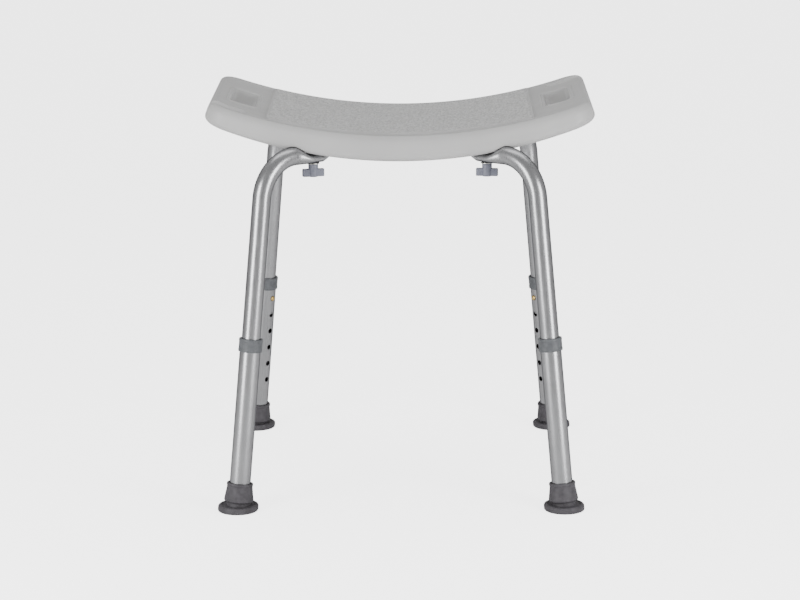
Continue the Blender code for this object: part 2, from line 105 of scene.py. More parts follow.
# Legs: each lies in an upright plane through its fixing screw, turned LEG_AZIMUTH from X.
LEG_AZIMUTH = math.radians(42)
LEG_LEAN = math.atan(0.117)
FOOT_X = 0.222
FOOT_Y = 0.220
SCREW_X = 0.118
SCREW_TO_FOOT = (FOOT_X - SCREW_X) / math.cos(LEG_AZIMUTH)
BEND_RADIUS = 0.058

TUBE_WALL = 0.0012
UPPER_RADIUS = 0.0127
LOWER_RADIUS = 0.0143
TUBE_TOP_Z = 0.4885
FLAT_START = 0.0355
FLAT_HOLD = 0.0092
FLAT_SCREW_HALF = 0.00725
FLAT_TIP = -0.014
FLAT_TIP_HALF = 0.0052
FLAT_BOTTOM = -2 * UPPER_RADIUS
FLAT_TOP = FLAT_BOTTOM + 2 * FLAT_SCREW_HALF
FLAT_STEPS = 18
STRAIGHT_STEPS = 12
BEND_STEPS = 28
TUBE_SIDES = 48
HOLE_SIDES = 32

HOLE_COUNT = 6
HOLE_SPACING = 0.0254
HOLE_RADIUS = 0.0036
TOP_HOLE_UP = 0.2061
UPPER_END_UP = 0.1811
LOWER_START_UP = 0.0118
LOWER_END_UP = 0.2315

COLLAR_RADIUS = 0.0164
COLLAR_START_UP = 0.2194
COLLAR_END_UP = 0.2373

BUTTON_RADIUS = 0.0033
BUTTON_REACH = 0.0168
BUTTON_FLANGE_FACE = 0.0102

TROUGH_GAP = 0.0004
TROUGH_INNER_END = -0.0165
TROUGH_OUTER_END = 0.062

STUD_RADIUS = 0.003
THREAD_PITCH = 0.00125
INSERT_LENGTH = 0.0125
WASHER_RADIUS = 0.0085
WASHER_THICKNESS = 0.0012
WASHER_TOP = FLAT_BOTTOM - GAP
KNOB_TOP = WASHER_TOP - WASHER_THICKNESS - GAP
KNOB_BOTTOM = KNOB_TOP - 0.0176
KNOB_STEM_RADIUS = 0.0068
WING_HALF_LENGTH = 0.0150
WING_HEIGHT = 0.0112
WING_THICKNESS = 0.0078
WING_TAPER = 0.9

FOOT_PAD_RADIUS = 0.0277
FOOT_HEIGHT_UP = 0.0385
FOOT_FLOOR_UP = 0.0095

CORNERS = {"front_left": (-1, -1), "front_right": (1, -1), "rear_left": (-1, 1), "rear_right": (1, 1)}
WING_TURN = {"front_left": -28, "front_right": 35, "rear_left": 15, "rear_right": -40}

SHARP_ANGLE = 38

# The floor's own light, seen by the camera alone, so that it doesn't light the stool from below.
FLOOR_GLOW = (3.2, 3.2, 3.2)
FLOOR_HALF_SIZE = 30.0
WORLD_STRENGTH = 0.50
SOFTBOX_POWER = 18
OVERHEAD_POWER = 9

# Worked out by fitting the camera and the stool's main sizes to the photograph together.
CAMERA_PLACE = (0.0431, -4.0787, 1.1482)
CAMERA_YAW = math.radians(-0.640)
CAMERA_PITCH = math.radians(-12.507)
CAMERA_ROLL = math.radians(-0.302)
CAMERA_LENS = 132.83


# ---------------------------------------------------------------- materials


def new_material(name, roughness, metallic=0.0, specular=0.5):
    material = bpy.data.materials.new(name)
    material.use_nodes = True
    tree = material.node_tree
    shader = tree.nodes["Principled BSDF"]
    shader.inputs["Roughness"].default_value = roughness
    shader.inputs["Metallic"].default_value = metallic
    shader.inputs["Specular IOR Level"].default_value = specular
    return material, tree, shader


def noise(tree, scale, detail=3.0, roughness=0.5, stretch=(1, 1, 1)):
    """Noise in the piece's own coordinates, squeezed along any axis whose stretch is under 1."""
    place = tree.nodes.new("ShaderNodeTexCoord")
    mapping = tree.nodes.new("ShaderNodeMapping")
    mapping.inputs["Scale"].default_value = stretch
    texture = tree.nodes.new("ShaderNodeTexNoise")
    texture.inputs["Scale"].default_value = scale
    texture.inputs["Detail"].default_value = detail
    texture.inputs["Roughness"].default_value = roughness
    tree.links.new(place.outputs["Object"], mapping.inputs["Vector"])
    tree.links.new(mapping.outputs["Vector"], texture.inputs["Vector"])
    return texture.outputs["Fac"]


def cells(tree, scale):
    """Rounded cells in the piece's own coordinates."""
    place = tree.nodes.new("ShaderNodeTexCoord")
    texture = tree.nodes.new("ShaderNodeTexVoronoi")
    texture.inputs["Scale"].default_value = scale
    tree.links.new(place.outputs["Object"], texture.inputs["Vector"])
    return texture.outputs["Distance"]


def colour_from(tree, shader, factor, low, high, stops=(0.35, 0.65)):
    ramp = tree.nodes.new("ShaderNodeValToRGB")
    for element, place, colour in zip(ramp.color_ramp.elements, stops, (low, high)):
        element.position = place
        element.color = (*colour, 1)
    tree.links.new(factor, ramp.inputs["Fac"])
    tree.links.new(ramp.outputs["Color"], shader.inputs["Base Color"])


def roughness_from(tree, shader, factor, low, high):
    scale = tree.nodes.new("ShaderNodeMapRange")
    scale.inputs["From Min"].default_value = 0.3
    scale.inputs["From Max"].default_value = 0.7
    scale.inputs["To Min"].default_value = low
    scale.inputs["To Max"].default_value = high
    tree.links.new(factor, scale.inputs["Value"])
    tree.links.new(scale.outputs["Result"], shader.inputs["Roughness"])


def bump_from(tree, shader, factor, depth):
    """Add a bump of DEPTH metres on top of any bump that the shader has."""
    bump = tree.nodes.new("ShaderNodeBump")
    bump.inputs["Distance"].default_value = depth
    tree.links.new(factor, bump.inputs["Height"])
    before = shader.inputs["Normal"].links
    if before:
        tree.links.new(before[0].from_socket, bump.inputs["Normal"])
    tree.links.new(bump.outputs["Normal"], shader.inputs["Normal"])


def seat_material():
    """Satin blow-moulded polyethylene with slow tone changes and a fine orange-peel skin."""
    material, tree, shader = new_material("seat_polyethylene", 0.5, specular=0.42)
    colour_from(tree, shader, noise(tree, 14, 4), (0.475, 0.473, 0.470), (0.505, 0.504, 0.500))
    roughness_from(tree, shader, noise(tree, 60, 3), 0.44, 0.54)
    bump_from(tree, shader, noise(tree, 900, 2), 0.00006)
    bump_from(tree, shader, noise(tree, 35, 2), 0.0004)
    return material


def painted_grain_panel_material():
    """The same plastic with the blasted, slightly darker grain of the non-slip panel, its colour mottled
    bright and dark as painted shade and highlight of the grains over the plastic's own tone.
    """
    material, tree, shader = new_material("panel_polyethylene", 0.55, specular=0.40)
    # Strong bright and dark mottling in the colour: painted shade and highlight of the grains, over the
    # plastic's own tone.
    colour_from(tree, shader, noise(tree, 230, 3, 0.6), (0.420, 0.420, 0.417), (0.630, 0.629, 0.624),
                (0.36, 0.64))
    roughness_from(tree, shader, noise(tree, 300, 3), 0.46, 0.62)
    bump_from(tree, shader, noise(tree, 1100, 3), 0.00012)
    bump_from(tree, shader, cells(tree, 420), 0.00022)
    return material


def tube_material():
    """Satin anodised aluminium: fine draw lines along the tube and a soft matt glow."""
    material, tree, shader = new_material("anodised_aluminium", 0.3, 1.0)
    shader.inputs["Specular Tint"].default_value = (0.12, 0.12, 0.13, 1)
    colour_from(tree, shader, noise(tree, 30, 3), (0.400, 0.402, 0.412), (0.440, 0.442, 0.452))
    roughness_from(tree, shader, noise(tree, 500, 3, 0.6, (1, 1, 0.04)), 0.25, 0.34)
    bump_from(tree, shader, noise(tree, 1500, 2, 0.6, (1, 1, 0.02)), 0.000012)
    bump_from(tree, shader, noise(tree, 2500, 2), 0.000008)
    return material


def moulded_material(name, low, high, roughness):
    """Injection-moulded plastic with a spark-eroded grain."""
    material, tree, shader = new_material(name, roughness, specular=0.45)
    colour_from(tree, shader, noise(tree, 180, 4), low, high)
    roughness_from(tree, shader, noise(tree, 400, 3), roughness - 0.06, roughness + 0.06)
    bump_from(tree, shader, noise(tree, 700, 3), 0.00008)
    return material


def rubber_material():
    material, tree, shader = new_material("foot_rubber", 0.6, specular=0.35)
    colour_from(tree, shader, noise(tree, 130, 5, 0.6), (0.054, 0.050, 0.056), (0.084, 0.079, 0.088))
    roughness_from(tree, shader, noise(tree, 260, 3), 0.52, 0.68)
    bump_from(tree, shader, noise(tree, 1100, 3), 0.00010)
    bump_from(tree, shader, noise(tree, 70, 2), 0.0003)
    return material


def metal_material(name, low, high, roughness):
    material, tree, shader = new_material(name, roughness, 1.0)
    colour_from(tree, shader, noise(tree, 250, 3), low, high)
    roughness_from(tree, shader, noise(tree, 900, 3), roughness - 0.08, roughness + 0.08)
    bump_from(tree, shader, noise(tree, 1500, 2), 0.00002)
    return material


def make_materials():
    return {
        "seat_plastic": seat_material(),
        "seat_panel": painted_grain_panel_material(),
        "anodised_tube": tube_material(),
        "collar_plastic": moulded_material(
            "collar_plastic", (0.088, 0.093, 0.100), (0.118, 0.124, 0.133), 0.50),
        "knob_plastic": moulded_material(
            "knob_plastic", (0.175, 0.182, 0.228), (0.215, 0.223, 0.276), 0.48),
        "foot_rubber": rubber_material(),
        "brass": metal_material("brass", (0.60, 0.40, 0.13), (0.72, 0.52, 0.20), 0.30),
        "zinc_steel": metal_material("zinc_steel", (0.50, 0.50, 0.48), (0.62, 0.62, 0.60), 0.36),
    }


# ---------------------------------------------------------------- building blocks


def add_piece(name, mesh, material, body, nodes, matrix=None):
    """A visible piece that rides on BODY and stands for the CAD NODES."""
    thing = bpy.data.objects.new(name, mesh)
    bpy.context.scene.collection.objects.link(thing)
    if not mesh.materials:
        mesh.materials.append(material)
    if matrix:
        thing.matrix_world = matrix
    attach(thing, body)
    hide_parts(*nodes)
    return thing


def mesh_from(bm, name, angle=SHARP_ANGLE):
    bmesh.ops.recalc_face_normals(bm, faces=bm.faces)
    mesh = bpy.data.meshes.new(name)
    bm.to_mesh(mesh)
    bm.free()
    mesh.shade_smooth()
    mesh.set_sharp_from_angle(angle=math.radians(angle))
    return mesh


def cut_mesh(mesh, cutters, operation="DIFFERENCE"):
    """MESH with each (mesh, matrix) of CUTTERS taken away or joined on, by an exact Boolean."""
    thing = bpy.data.objects.new("work", mesh)
    bpy.context.scene.collection.objects.link(thing)
    others = []
    for cutter, matrix in cutters:
        other = bpy.data.objects.new("cutter", cutter)
        other.matrix_world = matrix
        bpy.context.scene.collection.objects.link(other)
        modifier = thing.modifiers.new("cut", "BOOLEAN")
        modifier.operation = operation
        modifier.object = other
        others.append(other)
    bpy.context.view_layer.update()
    graph = bpy.context.evaluated_depsgraph_get()
    made = bpy.data.meshes.new_from_object(thing.evaluated_get(graph))
    for used in (thing, *others):
        bpy.data.objects.remove(used)
    made.set_sharp_from_angle(angle=math.radians(SHARP_ANGLE))
    return made


def revolved(name, profile, sides=64):
    """Turn an outline of (radius, height) points about Z. The outline is closed, or ends on the axis."""
    bm = bmesh.new()
    points = [bm.verts.new((radius, 0, height)) for radius, height in profile]
    edges = [bm.edges.new(pair) for pair in zip(points, points[1:])]
    if profile[0][0] > 0:
        edges.append(bm.edges.new((points[-1], points[0])))
    bmesh.ops.spin(bm, geom=points + edges, cent=(0, 0, 0), axis=(0, 0, 1), angle=2 * math.pi,
                   steps=sides, use_merge=True)
    bmesh.ops.remove_doubles(bm, verts=bm.verts, dist=1e-6)
    return mesh_from(bm, name)


def softened(profile, radius, steps=4):
    """PROFILE with every inner corner rounded by up to RADIUS."""
    done = [profile[0]]
    for before, here, after in zip(profile, profile[1:], profile[2:]):
        here = Vector(here)
        back, on = Vector(before) - here, Vector(after) - here
        reach = min(radius, back.length * 0.45, on.length * 0.45)
        start, end = here + back.normalized() * reach, here + on.normalized() * reach
        for step in range(steps + 1):
            share = step / steps
            point = start * (1 - share) ** 2 + here * 2 * share * (1 - share) + end * share ** 2
            done.append(tuple(point))
    return [*done, profile[-1]]


def join_rings(bm, rings):
    for low, high in zip(rings, rings[1:]):
        for here in range(len(low)):
            after = (here + 1) % len(low)
            bm.faces.new((low[here], low[after], high[after], high[here]))


def frame_from(x_axis, z_axis, origin):
    y_axis = z_axis.cross(x_axis)
    rows = [(x_axis[row], y_axis[row], z_axis[row], origin[row]) for row in range(3)]
    return Matrix((*rows, (0, 0, 0, 1)))


def outward(corner):
    sign_x, sign_y = CORNERS[corner]
    return Vector((sign_x * math.cos(LEG_AZIMUTH), sign_y * math.sin(LEG_AZIMUTH), 0))


def foot_point(corner):
    sign_x, sign_y = CORNERS[corner]
    return Vector((sign_x * FOOT_X, sign_y * FOOT_Y, 0))


def leg_frame(corner):
    """Z up along the leg from the floor, X square to it and pointing under the seat."""
    out = outward(corner)
    up = Vector((0, 0, 1))
    along = -out * math.sin(LEG_LEAN) + up * math.cos(LEG_LEAN)
    inward = -out * math.cos(LEG_LEAN) - up * math.sin(LEG_LEAN)
    return frame_from(inward, along, foot_point(corner))


def screw_frame(corner):
    """X outward along the leg's plane, Z up, with its origin on the fixing screw's axis."""
    out = outward(corner)
    point = foot_point(corner) - out * SCREW_TO_FOOT
    return frame_from(out, Vector((0, 0, 1)), Vector((point.x, point.y, TUBE_TOP_Z)))


def hole_frame(corner, number):
    """Z points out through hole NUMBER of a leg, X along the leg, counted from the top hole."""
    up = TOP_HOLE_UP - number * HOLE_SPACING
    return leg_frame(corner) @ Matrix.Translation((0, 0, up)) @ Matrix.Rotation(math.pi / 2, 4, "Y")


# ---------------------------------------------------------------- seat surface


def inside_distance(s, y, half_s, half_y, corner):
    """How far a point lies inside a rounded rectangle, negative outside."""
    over_s = np.abs(s) - (half_s - corner)
    over_y = np.abs(y) - (half_y - corner)
    outside = np.hypot(np.maximum(over_s, 0), np.maximum(over_y, 0))
    return corner - outside - np.minimum(np.maximum(over_s, over_y), 0)


def ring(half_s, half_y, corner, inset, step):
    """Points along a rounded rectangle's outline, moved inward by INSET."""
    half_s, half_y, corner = half_s - inset, half_y - inset, max(corner - inset, 0.0006)
    points = []
    arc = max(3, math.ceil(math.pi / 2 * corner / step))
    signs = ((1, 1), (-1, 1), (-1, -1), (1, -1))
    for quarter, (sx, sy) in enumerate(signs):
        centre = Vector((sx * (half_s - corner), sy * (half_y - corner)))
        for part in range(arc + 1):
            angle = math.pi / 2 * (quarter + part / arc)
            points.append(centre + corner * Vector((math.cos(angle), math.sin(angle))))
        after = signs[(quarter + 1) % 4]
        end = (quarter + 1) * math.pi / 2
        target = Vector((after[0] * (half_s - corner), after[1] * (half_y - corner)))
        target += corner * Vector((math.cos(end), math.sin(end)))
        straight = max(1, math.ceil((target - points[-1]).length / step))
        start = points[-1]
        points += [start.lerp(target, part / straight) for part in range(1, straight)]
    return np.array([tuple(point) for point in points])


def outline_distance(s, y):
    return inside_distance(s, y, HALF_ARC, SEAT_DEPTH / 2, SEAT_CORNER)


PANEL_MIDDLE_Y = (PANEL_FRONT_Y + PANEL_REAR_Y) / 2
PANEL_HALF_DEPTH = (PANEL_REAR_Y - PANEL_FRONT_Y) / 2


def panel_distance(s, y):
    return inside_distance(s, y - PANEL_MIDDLE_Y, PANEL_HALF_LENGTH, PANEL_HALF_DEPTH, PANEL_CORNER)


def handle_distance(s, y):
    """How far a point lies outside the nearer hand opening."""
    return -inside_distance(np.abs(s) - HANDLE_MIDDLE, y, HANDLE_WIDTH / 2, HANDLE_LENGTH / 2, HANDLE_CORNER)


GROOVE_OUTER_END = HALF_ARC + 0.04
GROOVE_HALF_LENGTH = (GROOVE_OUTER_END - GROOVE_INNER_END) / 2
GROOVE_MIDDLE_S = (GROOVE_OUTER_END + GROOVE_INNER_END) / 2


def groove_distance(s, y):
    """How far a point lies inside the hose rest: one at the front left, one at the rear right."""
    side = np.sign(s)
    return inside_distance(side * s - GROOVE_MIDDLE_S, side * y - GROOVE_MIDDLE_Y, GROOVE_HALF_LENGTH,
                           GROOVE_WIDTH / 2, GROOVE_CORNER)


def smooth_step(value, low, high):
    share = np.clip((value - low) / (high - low), 0, 1)
    return share * share * (3 - 2 * share)


def rolled_edge(distance, reach, drop):
    """An arc from the flat skin, which it meets at a slight crease, down to the upright side wall."""
    start = math.pi / 2 - 2 * math.atan2(reach, drop)
    radius = drop / math.cos(start)
    along = np.clip(distance, 0, reach)
    return np.sqrt(np.maximum(radius ** 2 - (radius - along) ** 2, 0)) - drop


def pebbles(s, y):
    """Flat-topped grains of uneven size and height, from 0 in the valleys to 1."""
    rng = np.random.default_rng(PEBBLE_SEED)
    columns = int(2 * PANEL_HALF_LENGTH / PEBBLE_SIZE) + 6
    rows = int(2 * PANEL_HALF_DEPTH / PEBBLE_SIZE) + 6
    jitter = rng.uniform(0.0, 1.0, (columns, rows, 2))
    level = rng.uniform(PEBBLE_LOWEST, 1.0, (columns, rows))
    u = (s + PANEL_HALF_LENGTH) / PEBBLE_SIZE + 2
    v = (y - PANEL_FRONT_Y) / PEBBLE_SIZE + 2
    nearest = np.full(u.shape, 9.0)
    second = np.full(u.shape, 9.0)
    height = np.zeros(u.shape)
    for du in (-1, 0, 1):
        for dv in (-1, 0, 1):
            column = np.clip(np.floor(u).astype(int) + du, 0, columns - 1)
            row = np.clip(np.floor(v).astype(int) + dv, 0, rows - 1)
            gap = np.hypot(column + jitter[column, row, 0] - u, row + jitter[column, row, 1] - v)
            closer = gap < nearest
            second = np.where(closer, nearest, np.minimum(second, gap))
            height = np.where(closer, level[column, row], height)
            nearest = np.where(closer, gap, nearest)
    return smooth_step(second - nearest, 0.02, 0.42) * height


def panel_height(s, y):
    """The raised panel: a round bead along its border and grains inside it."""
    inside = panel_distance(s, y)
    half = BEAD_WIDTH / 2
    bead = np.sqrt(np.maximum(1 - ((inside - half) / half) ** 2, 0)) * BEAD_HEIGHT
    floor = smooth_step(inside, half, BEAD_WIDTH) * PLATEAU_RISE
    grain = smooth_step(inside, BEAD_WIDTH, BEAD_WIDTH + 0.0015) * PEBBLE_HEIGHT
    return np.maximum(bead, floor + grain * pebbles(s, y))


def groove_height(s, y):
    inside = groove_distance(s, y)
    share = np.clip(inside / (GROOVE_WIDTH / 2), 0, 1)
    floor = -GROOVE_DEPTH * np.sqrt(1 - (1 - share) ** 2)
    return np.where(inside > 0, floor, 1.0)


def rim_height(s, y):
    """The sloping rim round each hand opening."""
    outside = handle_distance(s, y)
    return np.where(outside < HANDLE_RIM, (outside - HANDLE_RIM) * HANDLE_RIM_SLOPE, 1.0)


def lip_height(s, y):
    """A low round bead outside each sloping rim."""
    half = HANDLE_LIP / 2
    off = (handle_distance(s, y) - HANDLE_RIM - half) / half
    return np.sqrt(np.maximum(1 - off ** 2, 0)) * HANDLE_LIP_HEIGHT


def top_height(s, y):
    """The top skin. The plain border dips a little toward the panel's bead."""
    edge = outline_distance(s, y)
    dish = -DISH_DEPTH * np.clip((edge - EDGE_TOP_REACH) / DISH_REACH, 0, 1)
    height = rolled_edge(edge, EDGE_TOP_REACH, EDGE_DROP)
    height = height + np.where(panel_distance(s, y) > 0, panel_height(s, y), dish + lip_height(s, y))
    return np.minimum(height, np.minimum(groove_height(s, y), rim_height(s, y)))


def depth_share(s):
    return 1 - SEAT_TAPER * (s / HALF_ARC) ** 2


def bent(s, y, height):
    """World places of points of the seat. Depths shrink toward the ends, where the seat is thinner."""
    height = np.where(height < 0, height * depth_share(s), height)
    radius = SEAT_TOP_RADIUS - height
    angle = s / SEAT_TOP_RADIUS
    return np.stack([radius * np.sin(angle), y, SEAT_TOP_Z + SEAT_TOP_RADIUS - radius * np.cos(angle)], 1)


def trough_roof(x, y):
    """World height just over the tube of the leg in this quarter, and far down away from it."""
    start = screw_frame("rear_right").translation
    across, deep = np.abs(x) - start.x, np.abs(y) - start.y
    along = across * math.cos(LEG_AZIMUTH) + deep * math.sin(LEG_AZIMUTH)
    aside = deep * math.cos(LEG_AZIMUTH) - across * math.sin(LEG_AZIMUTH)
    flat = [(centre.x, centre.z, side, thick) for centre, _, side, thick in upper_path()]
    flat = np.array(flat[-FLAT_STEPS - 1:][::-1])
    middle, side, thick = (np.interp(along, flat[:, 0], flat[:, column]) for column in (1, 2, 3))
    share = np.sqrt(np.maximum(1 - (aside / (side + TROUGH_GAP)) ** 2, 0))
    past = np.maximum(along - flat[-1, 0], 0)
    bend = BEND_RADIUS + (UPPER_RADIUS + TROUGH_GAP) * share
    over_bend = np.sqrt(np.maximum(bend ** 2 - past ** 2, 0)) - BEND_RADIUS - UPPER_RADIUS
    roof = np.where(past > 0, over_bend, middle + (thick + TROUGH_GAP) * share)
    within = (along > TROUGH_INNER_END) & (share > 0)
    return TUBE_TOP_Z + np.where(within, roof, -1.0)


def bottom_height(s, y):
    """The underside: rolled edge, troughs that fit the leg tubes, hand openings and the needle hole."""
    roll = rolled_edge(outline_distance(s, y), EDGE_BOTTOM_REACH, EDGE_DROP)
    height = -SEAT_THICKNESS - roll
    outside = handle_distance(s, y)
    chamfer = (HANDLE_LOWER_RIM - outside) * HANDLE_LOWER_SLOPE
    height = np.where(outside < HANDLE_LOWER_RIM, height + chamfer, height)
    height = np.where(np.hypot(s, y) < NEEDLE_HOLE_RADIUS, height + NEEDLE_HOLE_DEPTH, height)
    share = depth_share(s)
    angle = s / SEAT_TOP_RADIUS
    raised = height
    for _ in range(4):
        x = (SEAT_TOP_RADIUS - raised * share) * np.sin(angle)
        roof = SEAT_TOP_RADIUS - (SEAT_TOP_RADIUS + SEAT_TOP_Z - trough_roof(x, y)) / np.cos(angle)
        raised = np.maximum(height, roof / share)
    return raised


def spread(points, least):
    """POINTS without any that lies nearer than LEAST to one before it."""
    kept = {}
    for x, y in points:
        cell = (math.floor(x / least), math.floor(y / least))
        near = (kept.get((cell[0] + dx, cell[1] + dy)) for dx in (-1, 0, 1) for dy in (-1, 0, 1))
        if all(other is None or math.hypot(other[0] - x, other[1] - y) >= least for other in near):
            kept[cell] = (x, y)
    return list(kept.values())


def grid(low_s, high_s, low_y, high_y, step):
    s = np.arange(low_s, high_s, step)
    y = np.arange(low_y, high_y, step * 0.87)
    wide, deep = np.meshgrid(s, y)
    wide = wide + (np.arange(len(y)) % 2 * step / 2)[:, None]
    return np.stack([wide.ravel(), deep.ravel()], 1)


def triangulate(loops, points):
    """(points, faces) of a plane sheet with the closed LOOPS, the first outside, as its borders."""
    border = np.concatenate(loops)
    edges = []
    start = 0
    for loop in loops:
        count = len(loop)
        edges += [(start + here, start + (here + 1) % count) for here in range(count)]
        start += count
    every = [Vector(point) for point in np.concatenate([border, points])]
    places, _, faces, *_ = delaunay_2d_cdt(every, edges, [], 1, 1e-8)
    places = np.array([tuple(place) for place in places])
    middles = np.array([places[list(face)].mean(0) for face in faces])
    inside = (outline_distance(*middles.T) > 0) & (handle_distance(*middles.T) > 0)
    return places, [face for face, good in zip(faces, inside) if good]


def seat_loops():
    outline = ring(HALF_ARC, SEAT_DEPTH / 2, SEAT_CORNER, 0, OUTLINE_STEP)
    opening = ring(HANDLE_WIDTH / 2, HANDLE_LENGTH / 2, HANDLE_CORNER, 0, 0.0016)
    return [outline] + [opening + (side * HANDLE_MIDDLE, 0) for side in (-1, 1)]


def edge_rings(reach, drop, steps):
    """Rings over a rolled edge, at even turns of its arc, and two at its crease."""
    start = math.pi / 2 - 2 * math.atan2(reach, drop)
    radius = drop / math.cos(start)
    turns = [math.pi / 2 - (math.pi / 2 - start) * step / steps for step in range(1, steps)]
    insets = [radius * (1 - math.sin(turn)) for turn in turns] + [reach, reach + 0.0004]
    return [ring(HALF_ARC, SEAT_DEPTH / 2, SEAT_CORNER, inset, OUTLINE_STEP) for inset in insets]


def clear_of_walls(points):
    """Which points lie off the seat's outline and its hand openings."""
    return (outline_distance(*points.T) > 0.0003) & (handle_distance(*points.T) > 0.0003)


# Places of the rings across the lip, as shares of its width, from its inner side outward.
LIP_SHARES = (0, 0.04, 0.14, 0.30, 0.50, 0.70, 0.86, 0.96, 1.0, 1.2)


def handle_rings(insets):
    return [ring(HANDLE_WIDTH / 2, HANDLE_LENGTH / 2, HANDLE_CORNER, -inset, 0.0018)
            + (side * HANDLE_MIDDLE, 0) for side in (-1, 1) for inset in insets]


def top_points():
    rings = edge_rings(EDGE_TOP_REACH, EDGE_DROP, EDGE_STEPS)
    rings += handle_rings((0.0012, 0.0024, *(HANDLE_RIM + HANDLE_LIP * share for share in LIP_SHARES)))
    for inset in (-0.0009, -0.0001, 0.0002, 0.0006, 0.0011, 0.0015, 0.0020, 0.0025, 0.0029, 0.0036):
        rings.append(ring(PANEL_HALF_LENGTH, PANEL_HALF_DEPTH, PANEL_CORNER, inset, 0.0016)
                     + (0, PANEL_MIDDLE_Y))
    for side in (-1, 1):
        for inset in (-0.0006, 0.0, 0.0004, 0.0012, 0.0025, 0.0042, 0.0064, 0.0088, 0.0112):
            rings.append(side * (ring(GROOVE_HALF_LENGTH, GROOVE_WIDTH / 2, GROOVE_CORNER, inset, 0.0018)
                                 + (GROOVE_MIDDLE_S, GROOVE_MIDDLE_Y)))
    near = np.array(spread(np.concatenate(rings), LEAST_GAP))
    coarse = grid(-HALF_ARC, HALF_ARC, -SEAT_DEPTH / 2, SEAT_DEPTH / 2, COARSE_STEP)
    away = handle_distance(*coarse.T) > HANDLE_RIM + HANDLE_LIP + 0.001
    away &= outline_distance(*coarse.T) > EDGE_TOP_REACH + 0.0015
    away &= (panel_distance(*coarse.T) < -0.0015) & (groove_distance(*coarse.T) < -0.0015)
    fine = grid(-PANEL_HALF_LENGTH, PANEL_HALF_LENGTH, PANEL_FRONT_Y, PANEL_REAR_Y, PANEL_STEP)
    within = panel_distance(*fine.T) > 0.0042
    points = np.concatenate([near, coarse[away], fine[within]])
    return points[clear_of_walls(points)]


def trough_points():
    """Plan points over the four leg troughs, with two close rows at each trough's inner wall."""
    along = [TROUGH_INNER_END - 0.0012, TROUGH_INNER_END - 0.0001, TROUGH_INNER_END + 0.0003,
             *np.arange(TROUGH_INNER_END + 0.0014, TROUGH_OUTER_END, 0.0012)]
    wide, deep = np.meshgrid(along, np.arange(-0.0180, 0.0181, 0.0012))
    patches = []
    for corner in CORNERS:
        out, start = outward(corner), screw_frame(corner).translation
        x = start.x + out.x * wide - out.y * deep
        y = start.y + out.y * wide + out.x * deep
        s = SEAT_TOP_RADIUS * np.arcsin(x / (SEAT_TOP_RADIUS + 0.97 * SEAT_THICKNESS))
        patches.append(np.stack([s.ravel(), y.ravel()], 1))
    return patches


def bottom_points():
    rings = edge_rings(EDGE_BOTTOM_REACH, EDGE_DROP, EDGE_STEPS)
    rings += handle_rings((0.0007, 0.0015, 0.0030))
    rings += [radius * np.array([(math.cos(turn), math.sin(turn)) for turn in np.linspace(0, 6, 16)])
              for radius in (0.00235, 0.00265)]
    rings += trough_points()
    near = np.array(spread(np.concatenate(rings), LEAST_GAP))
    coarse = grid(-HALF_ARC, HALF_ARC, -SEAT_DEPTH / 2, SEAT_DEPTH / 2, COARSE_STEP)
    points = np.array(spread(np.concatenate([near, coarse]), 0.00034))
    return points[clear_of_walls(points)]


def loop_numbers(places, loop):
    """The numbers of the points of PLACES that are the points of LOOP."""
    found = {(round(x * 1e6), round(y * 1e6)): number for number, (x, y) in enumerate(places)}
    numbers = []
    for x, y in loop:
        key = (round(x * 1e6), round(y * 1e6))
        near = ((key[0] + dx, key[1] + dy) for dx in (0, -1, 1) for dy in (0, -1, 1))
        numbers.append(next(found[spot] for spot in near if spot in found))
    return numbers


def seat_walls(loops, top, bottom, count):
    """The upright side wall and the walls of the hand openings, in rows of quads."""
    new_points, faces = [], []
    for number, loop in enumerate(loops):
        upper, lower = loop_numbers(top, loop), [n + len(top) for n in loop_numbers(bottom, loop)]
        s, y = loop.T
        high, low = top_height(s, y), bottom_height(s, y)
        rows = [upper]
        for step in range(1, count):
            start = len(top) + len(bottom) + sum(len(points) for points in new_points)
            new_points.append(bent(s, y, high + (low - high) * step / count))
            rows.append(list(range(start, start + len(loop))))
        rows.append(lower)
        for above, below in zip(rows, rows[1:]):
            for here in range(len(loop)):
                after = (here + 1) % len(loop)
                quad = (above[here], below[here], below[after], above[after])
                faces.append(quad if number == 0 else quad[::-1])
    return new_points, faces


def seat_mesh():
    loops = seat_loops()
    top, top_faces = triangulate(loops, top_points())
    bottom, bottom_faces = triangulate(loops, bottom_points())
    walls, wall_faces = seat_walls(loops, top, bottom, WALL_ROWS)
    points = np.concatenate([bent(*top.T, top_height(*top.T)), bent(*bottom.T, bottom_height(*bottom.T)),
                             *walls])
    shift = len(top)
    faces = list(top_faces) + [tuple(n + shift for n in face[::-1]) for face in bottom_faces] + wall_faces
    mesh = bpy.data.meshes.new("seat_shell")
    mesh.from_pydata(points.tolist(), [], [tuple(face) for face in faces])
    mesh.validate()
    mesh.shade_smooth()
    middles = np.array([top[list(face)].mean(0) for face in top_faces])
    textured = np.zeros(len(mesh.polygons), np.int32)
    textured[:len(middles)] = panel_distance(*middles.T) > BEAD_WIDTH
    mesh.polygons.foreach_set("material_index", textured)
    return mesh


def make_seat(materials):
    mesh = seat_mesh()
    mesh.materials.append(materials["seat_plastic"])
    mesh.materials.append(materials["seat_panel"])
    add_piece("seat_shell", mesh, None, "seat_frame", ["seat"])


# ---------------------------------------------------------------- leg tubes


def tube_ring(bm, centre, tangent, half_side, half_thick):
    """An oval ring in the leg's plane frame: Y is sideways, and the other way is square to the tube."""
    thick_way = Vector((-tangent.z, 0, tangent.x))
    points = []
    for step in range(TUBE_SIDES):
        angle = 2 * math.pi * step / TUBE_SIDES
        offset = Vector((0, half_side * math.cos(angle), 0)) + thick_way * half_thick * math.sin(angle)
        points.append(bm.verts.new(centre + offset))
    return points


